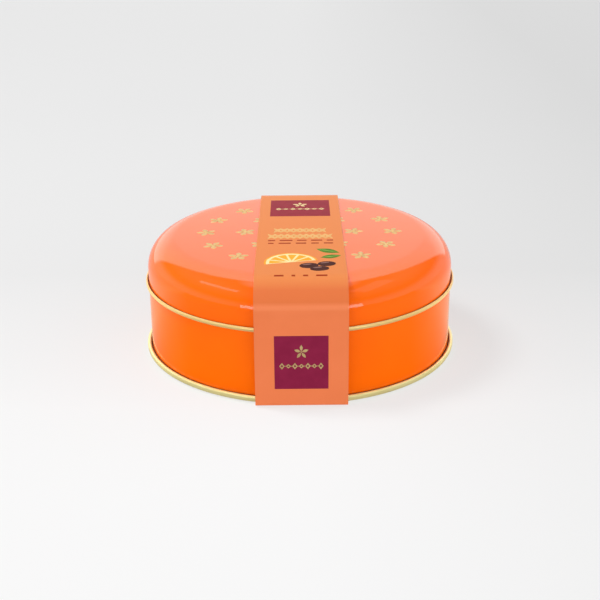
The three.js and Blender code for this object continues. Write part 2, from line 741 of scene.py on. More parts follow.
@dataclass(frozen=True)
class GoldFoil(Finish):
    """Thin gold foil, hot stamped, with a crinkled fine relief and worn spots."""

    name: str = "gold_foil"
    colour: Colour = (0.86, 0.66, 0.30)
    deep: Colour = (0.70, 0.51, 0.20)
    roughness: float = 0.34
    rougher_by: float = 0.12
    patches: float = 420.0
    grain: float = 1500.0
    relief: float = 0.01
    rubs: float = 900.0
    rub_strength: float = 0.3
    metal: float = 0.5


@dataclass(frozen=True)
class StudioPaper(Finish):
    """Pale glowing studio floor, painted to fall off a little to the back and the right."""

    name: str = "studio_paper"
    near: Colour = (0.99, 0.99, 0.99)
    far: Colour = (0.87, 0.87, 0.87)
    open_floor: Colour = (0.95, 0.95, 0.95)
    horizon: Colour = (0.95, 0.95, 0.95)
    side_share: float = 0.89
    glow_share: float = 0.69
    matt_share: float = 0.24
    mirrored_near: float = 0.03
    mirrored_open: float = 0.22
    mirrored_warm: Colour = (0.80, 0.64, 0.47)
    mirrored_away: Colour = (-0.30, -0.22, -0.06)

    def shade(self, bench: NodeBench, shader: Node, effects: Effects) -> None:
        """Light the paper from within, plainer and dimmer where the gloss mirrors it.

        Args:
            bench: The material's bench.
            shader: Its shader.
            effects: The shared effects, which the paper has no use for.
        """
        where = bench.add("ShaderNodeTexCoord").outputs["Object"]
        x, y, _ = bench.split(where)
        reach = bench.add("ShaderNodeVectorMath", operation="LENGTH")
        bench.join(where, reach.inputs[0])
        distance = reach.outputs["Value"]
        depth = bench.ramp(y, (-0.08, 0.0), (0.10, 1.0))
        side = bench.ramp(x, (0.0, 1.0), (0.30, self.side_share))
        lit = bench.blend(bench.ramp(distance, (0.6, 0.0), (1.8, 1.0)),
                          bench.blend(depth, self.near, self.far), self.open_floor)
        paper = bench.blend(bench.ramp(distance, (1.8, 0.0), (4.6, 1.0)),
                            bench.scaled(lit, side), self.horizon)
        # What the gloss mirrors is painted: shade near the tin's foot, lighter and warmer beside
        # it, dimmer further back
        open_ = bench.ramp(distance, (0.08, self.mirrored_near), (0.18, self.mirrored_open))
        back = bench.ramp(y, (-0.055, 0.0), (0.02, 1.0))
        away = bench.ramp(y, (0.02, 0.0), (0.14, 1.0))
        mirrored = bench.add("ShaderNodeCombineColor")
        for socket, warm, drop in zip(mirrored.inputs, self.mirrored_warm, self.mirrored_away):
            tint = bench.total(open_, bench.product(back, warm), bench.product(away, drop))
            bench.join(tint, socket)
        glossy = bench.add("ShaderNodeLightPath").outputs["Is Glossy Ray"]
        matt, glow = (bench.scaled(paper, share) for share in (self.matt_share, self.glow_share))
        bench.fill(shader, {
            "Base Color": bench.blend(glossy, matt, (0.0, 0.0, 0.0)),
            "Emission Color": bench.blend(glossy, glow, mirrored.outputs["Color"]),
            "Emission Strength": 1.0,
            "Roughness": 0.9,
            "Specular IOR Level": 0.0,
        })


@dataclass
class Dresser:
    """Dresses pieces with finishes and fastens them to the model."""

    effects: Effects
    materials: dict[str, bpy.types.Material] = field(default_factory=dict)

    def fit(
        self, piece: bpy.types.Object, finish: Finish, slot: Slot, stands_for: str | None = None
    ) -> None:
        """Dress a piece and let it ride on the tin.

        Args:
            piece: The piece.
            finish: Its finish.
            slot: The record's slot meant for it; not used.
            stands_for: The CAD node that it replaces, if any.
        """
        if finish.name not in self.materials:
            self.materials[finish.name] = finish.material(self.effects)
        piece.data.materials.append(self.materials[finish.name])
        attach(piece, ROOT_BODY)
        if stands_for:
            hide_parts(stands_for)
        log.info("%s: %d faces, %s", piece.name, len(piece.data.polygons), finish.name)


@dataclass
class Lid:
    """The pressed lid: skirt, rounded shoulder, domed top, gold curl and raised blossoms."""

    sizes: TinSizes
    dresser: Dresser
    segments: int = 288
    curl_segments: int = 360
    blossom_radius: float = 5.2
    blossom_relief: float = 0.2
    petals: int = 5
    rings: tuple[tuple[float, int], ...] = ((46.5, 14), (27.0, 8))

    def build(self) -> None:
        """Make and dress every piece of the lid."""
        # The lid's lacquer is a slightly darker copy of the wall's, painted shade on the lid
        lacquer = OrangeLacquer("shaded_orange_lacquer", (1.0, 0.142, 0.001), (0.99, 0.133, 0.001))
        gold = GoldTinplate("warm_gold_tinplate", (1.0, 0.73, 0.29), (0.98, 0.68, 0.25))
        self.dresser.fit(self.shell(), lacquer, Slot.LACQUER, "lid")
        self.dresser.fit(self.curl(), gold, Slot.TINPLATE)
        # Painted shade: a dark ring in the groove above the curl
        self.dresser.fit(self.groove_line(), GrooveShade(), Slot.TINPLATE)
        stamped = GoldFoil("stamped_gold", (0.68, 0.43, 0.145), (0.54, 0.32, 0.09), metal=0.45)
        shadowed = GoldFoil("shadowed_gold", (0.42, 0.19, 0.03), (0.34, 0.14, 0.02), metal=0.15)
        raised = self.flowers("lid_blossoms", PillowPad(self.sizes, self.blossom_relief), 2.6,
                              (0.9, self.blossom_radius - 1.0, 2.9, 0.7))
        self.dresser.fit(raised, stamped, Slot.FOIL)
        # Darker gold rims round each blossom are painted shade of its relief
        shade_rims = self.flowers("lid_blossom_shade_rims", PillowPad(self.sizes, 0.045, sink=0.03), 3.6,
                            (0.7, self.blossom_radius - 0.7, 3.5, 0.62))
        self.dresser.fit(shade_rims, shadowed, Slot.FOIL)

    def shell(self) -> bpy.types.Object:
        """The lacquered shell, from its underside to the top's middle.

        Returns:
            The new object.
        """
        sizes = self.sizes
        web_reach = sizes.body_radius + sizes.groove + 0.2
        web_top = sizes.curl_level + sizes.curl_web / 2
        corner = 0.25
        foot: Line = [
            (0.0, sizes.lid_foot),
            *between((0.0, sizes.lid_foot), (web_reach, sizes.lid_foot), 4),
            (web_reach, sizes.lid_foot),
            (web_reach, web_top),
            *arc((sizes.skirt_radius + corner, web_top + corner), (corner, corner), 270, 180, 5),
        ]
        skirt = between(foot[-1], (sizes.skirt_radius, sizes.shoulder_level), 4)
        centre = (sizes.flat_radius, sizes.shoulder_level)
        radii = (sizes.shoulder_width, sizes.shoulder_rise)
        shoulder = [
            (across, up + sizes.dome(across)) for across, up in arc(centre, radii, 0, 90, 36)
        ]
        steps = 14
        flats = [sizes.flat_radius * (1 - step / steps) for step in range(1, steps + 1)]
        top = [(distance, sizes.top_height(distance)) for distance in flats]
        return turned("lid_shell", [*foot, *skirt, *shoulder, *top], self.segments)

    def curl(self) -> bpy.types.Object:
        """The outward curl along the lid's lower edge.

        Returns:
            The new object.
        """
        sizes = self.sizes
        outer = sizes.curl_diameter / 2
        half = (outer - sizes.body_radius - sizes.groove) / 2
        loop = arc((outer - half, sizes.curl_level), (half, sizes.curl_depth / 2), 0, 360, 24)
        return turned("lid_curl", loop[:-1], self.curl_segments, closed=True)

    def groove_line(self) -> bpy.types.Object:
        """A dark ring of painted shade between the curl's crest and the skirt.

        Returns:
            The new object.
        """
        sizes = self.sizes
        outer = sizes.curl_diameter / 2
        half = (outer - sizes.body_radius - sizes.groove) / 2
        crest = (outer - half - 0.05, sizes.curl_level + sizes.curl_depth / 2 + 0.012)
        foot = sizes.curl_level + sizes.curl_web / 2 + 0.1
        inner = sizes.skirt_radius - 0.03
        dip = (inner + 0.3, foot + 0.35)
        loop = [(inner, foot), (crest[0], foot), crest, dip, (inner, foot + 0.42)]
        return turned("lid_groove_line", loop, self.curl_segments, closed=True)

    def flowers(
        self, name: str, pad: "PillowPad", heart: float, petal: tuple[float, float, float, float]
    ) -> bpy.types.Object:
        """Lay a blossom at every place in the rings, one petal of each pointing outward.

        Args:
            name: Name of the piece.
            pad: What gathers its pillows.
            heart: Width of each blossom's middle, in millimetres.
            petal: A petal's start, length, width and bluntness.

        Returns:
            The new object.
        """
        for distance, count in self.rings:
            for number in range(count):
                pad.stand(distance, 360 * number / count)
                pad.add(0.0, -heart / 2, heart, heart, 0.5)
                for turn in range(self.petals):
                    pad.add(360 / self.petals * turn, *petal)
        return pad.make(name)


@dataclass
class PillowPad:
    """Gathers small raised pillows that lie on the lid's top."""

    sizes: TinSizes
    relief: float
    sink: float = 0.05
    long_steps: int = 12
    cross_steps: int = 6
    place: Matrix = field(default_factory=Matrix)
    vertices: list[tuple[float, float, float]] = field(default_factory=list)
    faces: list[tuple[int, ...]] = field(default_factory=list)

    def stand(self, distance: float, angle: float) -> None:
        """Choose the middle that the next pillows are set about.

        Args:
            distance: Its distance from the tin's axis, in millimetres.
            angle: Its angle about the axis, in degrees.
        """
        turn = Matrix.Rotation(math.radians(angle), 4, "Z")
        self.place = turn @ Matrix.Translation((distance, 0.0, 0.0))

    def add(self, turn: float, start: float, length: float, width: float, blunt: float) -> None:
        """Add one pillow.

        Args:
            turn: Its direction from the middle, in degrees.
            start: Where it starts along that direction, in millimetres.
            length: Its length.
            width: Its width.
            blunt: How blunt its ends are, 1 for pointed and 0.5 for round.
        """
        first = len(self.vertices)
        lie = self.place @ Matrix.Rotation(math.radians(turn), 4, "Z")
        for step in range(self.long_steps + 1):
            share = step / self.long_steps
            swell = math.sin(math.pi * share)
            half = width / 2 * max(swell, 0.0) ** blunt
            for cross in range(self.cross_steps + 1):
                across = 2 * cross / self.cross_steps - 1
                spot = lie @ Vector((start + share * length, across * half, 0.0))
                crown = math.sqrt(max(0.0, 1 - across**2)) * max(swell, 0.0) ** 0.35
                rise = (self.relief + self.sink) * crown - self.sink
                height = self.sizes.top_height(math.hypot(spot.x, spot.y)) + rise
                self.vertices.append((spot.x * MM, spot.y * MM, height * MM))
        row = self.cross_steps + 1
        for step in range(self.long_steps):
            for cross in range(self.cross_steps):
                here = first + step * row + cross
                self.faces.append((here, here + row, here + row + 1, here + 1))

    def make(self, name: str) -> bpy.types.Object:
        """Make the mesh of everything added, with vertices in one place joined.

        Args:
            name: Name of the piece.

        Returns:
            The new object.
        """
        made = make_object(name, self.vertices, self.faces, crease=75.0)
        work = bmesh.new()
        work.from_mesh(made.data)
        bmesh.ops.remove_doubles(work, verts=work.verts, dist=0.002 * MM)
        work.to_mesh(made.data)
        work.free()
        return made


@dataclass
class Can:
    """The tin under the lid: its straight wall and its bottom end with the rolled seam."""

    sizes: TinSizes
    dresser: Dresser
    segments: int = 288

    def build(self) -> None:
        """Make and dress the wall and the bottom end."""
        self.dresser.fit(self.wall(), OrangeLacquer(), Slot.LACQUER, "body")
        self.dresser.fit(self.bottom_end(), GoldTinplate(), Slot.TINPLATE, "base")
        # Painted shade: a dark ring in the groove above the seam
        self.dresser.fit(self.seam_line(), GrooveShade(), Slot.TINPLATE)

    def wall(self) -> bpy.types.Object:
        """The wall, filled, because the tin is shut.

        Returns:
            The new object.
        """
        sizes = self.sizes
        low, high, reach = sizes.wall_foot, sizes.lid_foot, sizes.body_radius
        profile: Line = [
            (0.0, low),
            *between((0.0, low), (reach, low), 4),
            (reach, low),
            *between((reach, low), (reach, high), 8),
            (reach, high),
            *between((reach, high), (0.0, high), 4),
            (0.0, high),
        ]
        return turned("tin_wall", profile, self.segments)

    def bottom_end(self) -> bpy.types.Object:
        """Recessed panel with shallow beads, rounded foot and the seam that stands proud.

        Returns:
            The new object.
        """
        sizes = self.sizes
        seam = sizes.seam_diameter / 2
        inner = sizes.body_radius + sizes.groove
        crown_half = (seam - inner) / 2
        crown_level = sizes.foot_level + sizes.seam_height - sizes.seam_top_round
        foot_centre = (seam - sizes.seam_foot_round, sizes.foot_level + sizes.seam_foot_round)
        foot_round = (sizes.seam_foot_round, sizes.seam_foot_round)
        chuck = sizes.seam_inner_radius
        profile: Line = [
            (0.0, sizes.panel_level),
            *self.beads(),
            (chuck - sizes.panel_bevel, sizes.panel_level),
            (chuck, sizes.panel_level - sizes.panel_bevel),
            (chuck + sizes.panel_bevel, sizes.foot_level),
            *arc(foot_centre, foot_round, 270, 360, 10),
            *arc((seam - crown_half, crown_level), (crown_half, sizes.seam_top_round), 0, 180, 16),
            (inner, sizes.wall_foot),
            *between((inner, sizes.wall_foot), (0.0, sizes.wall_foot), 4),
            (0.0, sizes.wall_foot),
        ]
        return turned("bottom_end", profile, self.segments)

    def seam_line(self) -> bpy.types.Object:
        """A dark ring of painted shade between the seam's crest and the wall.

        Returns:
            The new object.
        """
        sizes = self.sizes
        seam = sizes.seam_diameter / 2
        half = (seam - sizes.body_radius - sizes.groove) / 2
        crest = (seam - half - 0.35, sizes.foot_level + sizes.seam_height - 0.03)
        foot = sizes.wall_foot + 0.02
        inner = sizes.body_radius - 0.03
        loop = [(inner, foot), (crest[0], foot), crest, (inner + 0.3, foot + 0.1),
                (inner, foot + 0.3)]
        return turned("seam_groove_line", loop, self.segments, closed=True)

    def beads(self) -> Line:
        """Two shallow rings pressed down into the bottom panel.

        Returns:
            Their points, from the middle outward.
        """
        level = self.sizes.panel_level
        points: Line = []
        for radius in (46.0, 64.0):
            for across, down in arc((radius, level), (2.2, 0.35), 180, 360, 10):
                points.append((across, down))
        return points


@dataclass
class CardLoop:
    """The sleeve's closed line in the Y-Z plane, and places along its outer face."""

    sizes: TinSizes
    skin: float = 0.32
    bend_steps: int = 40
    line_points: Line = field(init=False)
    travel: list[float] = field(init=False)

    def __post_init__(self) -> None:
        """Measure the outer line from the front's foot, over the top, to the back's foot."""
        self.line_points = self.line(self.skin)
        self.line_points.reverse()
        lengths = [math.dist(a, b) for a, b in zip(self.line_points, self.line_points[1:])]
        half = sum(lengths) / 2
        self.travel = [-half]
        for length in lengths:
            self.travel.append(self.travel[-1] + length)

    def line(self, thickness: float) -> Line:
        """One line round the tin, from the back's foot over the top to the front's foot.

        Args:
            thickness: Distance from the card's inner face, in millimetres.

        Returns:
            Points of Y and Z in millimetres. The last joins the first under the tin.
        """
        sizes = self.sizes
        reach = sizes.seam_diameter / 2 + sizes.sleeve_side_gap + thickness
        fold = sizes.sleeve_fold + thickness
        under = sizes.foot_level - thickness
        crest = sizes.sleeve_top_gap + thickness
        bend = (reach - sizes.flat_radius, sizes.shoulder_rise + crest)
        foot = arc((reach - fold, under + fold), (fold, fold), -90, 0, 10)
        rise = between(foot[-1], (reach, sizes.shoulder_level), 12)
        over = [
            (across, up + max(0.0, sizes.dome(across)))
            for across, up in arc((sizes.flat_radius, sizes.shoulder_level), bend, 0, 90,
                                  self.bend_steps)
        ]
        steps = 12
        flats = [sizes.flat_radius * (1 - step / steps) for step in range(1, steps)]
        top = [(across, sizes.top_height(across) + crest) for across in flats]
        back = [*foot, *rise, *over, *top]
        front = [(-across, up) for across, up in reversed(back)]
        return [*back, (0.0, sizes.top_height(0.0) + crest), *front]

    def place(self, along: float, lift: float) -> Point:
        """A place on the outer face.

        Args:
            along: Distance along the card from the top's middle, in millimetres, back positive.
            lift: Distance off the card's face.

        Returns:
            Y and Z in millimetres.
        """
        travel, points = self.travel, self.line_points
        index = next(
            (i for i in range(len(travel) - 1) if travel[i + 1] >= along), len(travel) - 2
        )
        share = (along - travel[index]) / (travel[index + 1] - travel[index])
        (y0, z0), (y1, z1) = points[index], points[index + 1]
        span = math.dist(points[index], points[index + 1])
        y = y0 + (y1 - y0) * share - (z1 - z0) / span * lift
        z = z0 + (z1 - z0) * share + (y1 - y0) / span * lift
        return (y, z)

    def along_front(self, height: float) -> float:
        """Distance along the card of a height on its front face.

        Args:
            height: The height in millimetres.

        Returns:
            The distance in millimetres.
        """
        for index, ((_, z0), (_, z1)) in enumerate(zip(self.line_points, self.line_points[1:])):
            if z0 <= height <= z1:
                share = (height - z0) / (z1 - z0)
                return self.travel[index] + share * (self.travel[index + 1] - self.travel[index])
        raise ValueError(height)


@dataclass
class PrintSheet:
    """Flat shapes in sleeve coordinates, laid on the card as thin printed layers."""

    loop: CardLoop
    shapes: list[tuple[Line, float]] = field(default_factory=list)
    cut_every: float = 5.0
    layer_step: float = 0.004

    def shape(self, points: Line, layer: int = 0) -> None:
        """Add one shape, turned so that it faces out.

        Args:
            points: Its outline, across and along the card.
            layer: How many other shapes it may cross. Each adds a little height.
        """
        area = sum(
            a[0] * b[1] - b[0] * a[1] for a, b in zip(points, [*points[1:], points[0]])
        )
        facing = points if area > 0 else list(reversed(points))
        self.shapes.append((facing, layer * self.layer_step))

    def box(self, left: float, right: float, low: float, high: float) -> None:
        """Add a plain rectangle."""
        self.shape([(left, low), (right, low), (right, high), (left, high)])

    def band(self, outer: Line, inner: Line) -> None:
        """Add the strip between two closed lines with as many points.

        Args:
            outer: The outer line.
            inner: The inner line.
        """
        count = len(outer)
        for step in range(count):
            after = (step + 1) % count
            self.shape([outer[step], outer[after], inner[after], inner[step]])

    def lay(self, name: str, top: float, bottom: float = -0.02) -> bpy.types.Object:
        """Lay the shapes on the card as one closed thin mesh.

        Args:
            name: Name of the piece.
            top: Height of its face over the card, in millimetres.
            bottom: Height of its underside.

        Returns:
            The new object.
        """
        work = bmesh.new()
        for points, rise in self.shapes:
            work.faces.new([work.verts.new((x, along, rise)) for x, along in points])
        bmesh.ops.triangulate(work, faces=work.faces)
        lowest = min(vertex.co.y for vertex in work.verts)
        highest = max(vertex.co.y for vertex in work.verts)
        for cut in range(1, int((highest - lowest) / self.cut_every) + 1):
            everything = [*work.verts, *work.edges, *work.faces]
            at = (0.0, lowest + cut * self.cut_every, 0.0)
            bmesh.ops.bisect_plane(work, geom=everything, plane_co=at, plane_no=(0, 1, 0))
        work.verts.index_update()
        count = len(work.verts)
        flat = [tuple(vertex.co) for vertex in work.verts]
        faces: list[tuple[int, ...]] = []
        for face in work.faces:
            corners = [vertex.index for vertex in face.verts]
            faces.append(tuple(corners))
            faces.append(tuple(count + corner for corner in reversed(corners)))
            for edge in face.loops:
                if len(edge.edge.link_faces) == 1:
                    start, end = edge.vert.index, edge.link_loop_next.vert.index
                    faces.append((end, start, count + start, count + end))
        work.free()
        vertices = []
        for lift, side in ((top, 1), (bottom, -1)):
            for x, along, rise in flat:
                y, z = self.loop.place(along, lift + side * rise)
                vertices.append((x * MM, y * MM, z * MM))
        return make_object(name, vertices, faces)


def oval(centre: Point, radii: Point, turn: float = 0.0, steps: int = 32) -> Line:
    """A closed oval.

    Args:
        centre: Its middle.
        radii: Its half axes.
        turn: Its turn in degrees.
        steps: Number of points.

    Returns:
        The points.
    """
    cos, sin = math.cos(math.radians(turn)), math.sin(math.radians(turn))
    points = []
    for step in range(steps):
        angle = 2 * math.pi * step / steps
        a, b = radii[0] * math.cos(angle), radii[1] * math.sin(angle)
        points.append((centre[0] + a * cos - b * sin, centre[1] + a * sin + b * cos))
    return points


def leaf(centre: Point, length: float, width: float, turn: float, steps: int = 14) -> Line:
    """A pointed leaf.

    Args:
        centre: Its middle.
        length: From tip to tip.
        width: At its widest.
        turn: Its turn in degrees.
        steps: Points along each side.

    Returns:
        The points.
    """
    cos, sin = math.cos(math.radians(turn)), math.sin(math.radians(turn))
    flat = []
    for side in (1, -1):
        for step in range(steps):
            share = step / steps if side > 0 else 1 - step / steps
            flat.append(((share - 0.5) * length, side * width / 2 * math.sin(math.pi * share)))
    return [(centre[0] + a * cos - b * sin, centre[1] + a * sin + b * cos) for a, b in flat]


@dataclass
class Sleeve:
    """The card loop and everything printed on it."""

    sizes: TinSizes
    dresser: Dresser
    loop: CardLoop = field(init=False)
    ink_lift: float = 0.045
    foil_lift: float = 0.075
    front_label: tuple[float, float, float, float] = (-11.86, 12.44, 9.05, 35.05)
    top_label: tuple[float, float, float, float] = (-15.15, 16.25, 24.05, 53.7)

    def __post_init__(self) -> None:
        """Measure the card."""
        self.loop = CardLoop(self.sizes)

    def build(self) -> None:
        """Make and dress the card and its print."""
        board, skin = 0.08, self.loop.skin
        self.dresser.fit(self.card("sleeve_card", board, skin), OrangeCard(), Slot.CARD, "sleeve")
        self.dresser.fit(self.card("sleeve_lining", 0.0, board), BareBoard(), Slot.CARD)
        self.labels()
        self.ornaments()
        self.garlands()
        self.rules()
        self.picture()

    def card(self, name: str, inside: float, outside: float) -> bpy.types.Object:
        """One closed layer of the card loop.

        Args:
            name: Name of the piece.
            inside: Distance of its inner face from the card's inner line, in millimetres.
            outside: Distance of its outer face.

        Returns:
            The new object.
        """
        outer = self.loop.line(outside)
        inner = self.loop.line(inside)
        half = self.sizes.sleeve_width / 2
        columns = 6
        vertices = []
        for column in range(columns + 1):
            x = self.sizes.sleeve_offset - half + 2 * half * column / columns
            for y, z in (*outer, *inner):
                vertices.append((x * MM, y * MM, z * MM))
        count = len(outer)
        row = 2 * count
        faces: list[tuple[int, ...]] = []
        for step in range(count):
            after = (step + 1) % count
            for column in range(columns):
                here, there = column * row, (column + 1) * row
                faces.append((here + step, there + step, there + after, here + after))
                low, high = step + count, after + count
                faces.append((here + low, here + high, there + high, there + low))
            last = columns * row
            faces.append((step, after, after + count, step + count))
            faces.append((last + step, last + step + count, last + after + count, last + after))
        return make_object(name, vertices, faces)

    def labels(self) -> None:
        """The two maroon fields, on the front and on the top."""
        maroon = PrintedInk("maroon_ink", screen(137, 36, 67), screen(131, 33, 63), 0.36)
        left, right, low, high = self.front_label
        sheet = PrintSheet(self.loop)
        sheet.box(left, right, self.loop.along_front(low), self.loop.along_front(high))
        self.dresser.fit(sheet.lay("front_label", self.ink_lift), maroon, Slot.INK)
        sheet = PrintSheet(self.loop)
        sheet.box(*self.top_label)
        warm = PrintedInk("warm_maroon_ink", screen(154, 39, 54), screen(146, 35, 50), 0.36)
        self.dresser.fit(sheet.lay("top_label", self.ink_lift), warm, Slot.INK)

    def ornament(self, sheet: PrintSheet, box: tuple[float, float, float, float]) -> None:
        """Draw a small blossom over a chain of lozenges, inside a field.

        Args:
            sheet: Where it is drawn.
            box: The field's left, right, low and high.
        """
        left, right, low, high = box
        middle = (left + right) / 2
        width, height = right - left, high - low
        centre = (middle, low + 0.70 * height)
        for petal in range(5):
            angle = math.radians(90 + 72 * petal)
            spot = (
                centre[0] + 0.075 * width * math.cos(angle),
                centre[1] + 0.075 * height * math.sin(angle),
            )
            turn = 90 + 72 * petal
            sheet.shape(leaf(spot, 0.115 * height, 0.055 * width, turn))
        sheet.shape(oval(centre, (0.014 * width, 0.014 * height)), layer=1)
        count = 7
        step = 0.84 * width / count
        level = low + 0.435 * height
        for number in range(count):
            x = middle + (number - (count - 1) / 2) * step
            tall = 0.062 * height if number % 2 == 0 else 0.042 * height
            outer = oval((x, level), (0.42 * step, tall), steps=4)
            inner = oval((x, level), (0.2 * step, 0.42 * tall), steps=4)
            sheet.band(outer, inner)
            if number:
                sheet.shape(oval((x - step / 2, level), (0.07 * step, 0.009 * height), steps=12))

    def ornaments(self) -> None:
        """The gold print on both fields."""
        sheet = PrintSheet(self.loop)
        left, right, low, high = self.front_label
        along = self.loop.along_front
        self.ornament(sheet, (left, right, along(low), along(high)))
        self.ornament(sheet, self.top_label)
        piece = sheet.lay("label_ornaments", self.foil_lift)
        self.dresser.fit(piece, GoldFoil(), Slot.FOIL)

    def garlands(self) -> None:
        """Two rows of pale gold leaves across the top."""
        pale = PrintedInk("pale_gold_ink", screen(236, 184, 115), screen(228, 174, 107), 0.35)
        sheet = PrintSheet(self.loop)
        for left, right, low, high, count in (
            (-12.5, 13.1, -3.6, 3.6, 8),
            (-15.2, 15.9, -13.4, -5.4, 10),
        ):
            step = (right - left) / count
            for number in range(count):
                spot = (left + (number + 0.5) * step, (low + high) / 2)
                for layer, turn in enumerate((62, 118)):
                    sheet.shape(leaf(spot, (high - low) * 1.12, step * 0.6, turn), layer)
        self.dresser.fit(sheet.lay("leaf_garlands", self.ink_lift), pale, Slot.FOIL)

    def rules(self) -> None:
        """Thin broken rules in a dark red-brown."""
        brown = PrintedInk("red_brown_ink", screen(168, 62, 32), screen(158, 55, 28), 0.45)
        sheet = PrintSheet(self.loop)
        rows = (
            (-15.3, 16.35, -16.4, -15.0, (3.4, 6.2, 4.6, 5.4, 3.0)),
            (-15.2, 16.25, -20.7, -19.3, (2.6, 5.8, 5.0, 3.6, 4.4)),
            (-11.6, 12.3, -64.6, -63.2, (4.2, 1.6, 2.2, 5.0)),
        )
        for left, right, low, high, dashes in rows:
            gap = (right - left - sum(dashes)) / (len(dashes) - 1)
            start = left
            for dash in dashes:
                sheet.box(start, start + dash, low, high)
                start += dash + gap
        self.dresser.fit(sheet.lay("broken_rules", self.ink_lift), brown, Slot.INK)

    def picture(self) -> None:
        """A half slice of orange, two leaves and three dark drops, as flat coloured shapes."""
        rind = PrintedInk("rind_ink", screen(250, 170, 60), screen(246, 158, 50))
        pith = PrintedInk("pith_ink", screen(255, 232, 170), screen(252, 224, 156))
        flesh = PrintedInk("flesh_ink", screen(255, 178, 58), screen(252, 164, 46))
        green = PrintedInk("leaf_ink", screen(98, 142, 50), screen(80, 126, 40))
        vein = PrintedInk("vein_ink", screen(160, 196, 96), screen(150, 186, 88))
        cocoa = PrintedInk("cocoa_ink", screen(82, 42, 36), screen(72, 36, 30), 0.3)
        shine = PrintedInk("cocoa_shine_ink", screen(150, 110, 100), screen(140, 100, 92), 0.3)
        slice_centre, slice_radius, slice_turn = (-4.0, -47.0), 12.6, 12.0
        self.half_round("slice_rind", slice_centre, slice_radius, slice_turn, 0.03, rind)
        self.half_round("slice_pith", slice_centre, slice_radius - 0.9, slice_turn, 0.042, pith)
        sheet = PrintSheet(self.loop)
        count, gap = 6, 3.2
        for number in range(count):
            start = slice_turn + 180 * number / count + gap
            end = slice_turn + 180 * (number + 1) / count - gap
            tip = 0.16 * slice_radius
            middle = math.radians((start + end) / 2)
            point = (
                slice_centre[0] + tip * math.cos(middle),
                slice_centre[1] + tip * math.sin(middle),
            )
            reach = slice_radius - 2.4
            sheet.shape([point, *arc(slice_centre, (reach, reach), start, end, 8)])
        self.dresser.fit(sheet.lay("slice_segments", 0.054), flesh, Slot.INK)
        leaves = (((13.4, -31.5), 12.0, 5.6, 152.0), ((14.6, -39.5), 10.0, 4.8, 196.0))
        sheet, veins = PrintSheet(self.loop), PrintSheet(self.loop)
        for centre, length, width, turn in leaves:
            sheet.shape(leaf(centre, length, width, turn))
            veins.shape(leaf(centre, length * 0.8, 0.5, turn))
        self.dresser.fit(sheet.lay("print_leaves", self.ink_lift), green, Slot.INK)
        self.dresser.fit(veins.lay("leaf_veins", 0.054), vein, Slot.INK)
        drops = (
            ((4.2, -51.6), (4.4, 3.4)), ((12.4, -49.4), (4.2, 3.2)), ((9.0, -55.6), (4.4, 3.0)),
        )
        sheet, lights = PrintSheet(self.loop), PrintSheet(self.loop)
        for layer, (centre, radii) in enumerate(drops):
            sheet.shape(oval(centre, radii, 8.0), layer)
            glint = (centre[0] - 0.2 * radii[0], centre[1] + 0.45 * radii[1])
            lights.shape(oval(glint, (0.5 * radii[0], 0.2 * radii[1]), 14.0, 20))
        self.dresser.fit(sheet.lay("cocoa_drops", 0.062), cocoa, Slot.INK)
        self.dresser.fit(lights.lay("drop_lights", 0.074), shine, Slot.INK)

    def half_round(
        self, name: str, centre: Point, radius: float, turn: float, lift: float, ink: Finish
    ) -> None:
        """Lay a half disc.

        Args:
            name: Name of the piece.
            centre: Middle of its straight side.
            radius: Its radius.
            turn: Its turn in degrees.
            lift: Height of its face over the card.
            ink: Its finish.
        """
        sheet = PrintSheet(self.loop)
        sheet.shape(arc(centre, (radius, radius), turn, turn + 180, 36))
        self.dresser.fit(sheet.lay(name, lift), ink, Slot.INK)


@dataclass(frozen=True)
class Lamp:
    """A rectangular soft lamp that faces the tin. Places are in metres, radiance 1 is white."""

    name: str
    start: Vector
    end: Vector
    width: float
    radiance: float
    glossy: bool = True
    diffuse: bool = False

    def build(self) -> None:
        """Make the lamp between its two ends."""
        along = self.end - self.start
        middle = (self.start + self.end) / 2
        away = (middle - Vector((0.0, 0.0, 0.03))).normalized()
        side = (along - along.dot(away) * away).normalized()
        data = bpy.data.lights.new(self.name, "AREA")
        data.shape = "RECTANGLE"
        data.size, data.size_y = along.length, self.width
        data.energy = self.radiance * math.pi * along.length * self.width
        made = bpy.data.objects.new(self.name, data)
        facing = Matrix((side, away.cross(side), away)).transposed().to_4x4()
        made.matrix_world = Matrix.Translation(middle) @ facing
        made.visible_glossy = self.glossy
        made.visible_diffuse = self.diffuse
        made.visible_camera = False
        bpy.context.scene.collection.objects.link(made)
        log.info("%s: %.2f m long", self.name, along.length)


def toward(elevation: float, azimuth: float, distance: float = 1.5) -> Vector:
    """A place seen from the tin.

    Args:
        elevation: Angle over the floor, in degrees.
        azimuth: Angle from the right, towards the back, in degrees.
        distance: How far off it is, in metres.

    Returns:
        The place in metres.
    """
    up, round_ = math.radians(elevation), math.radians(azimuth)
    flat = distance * math.cos(up)
    return Vector((flat * math.cos(round_), flat * math.sin(round_), distance * math.sin(up)))


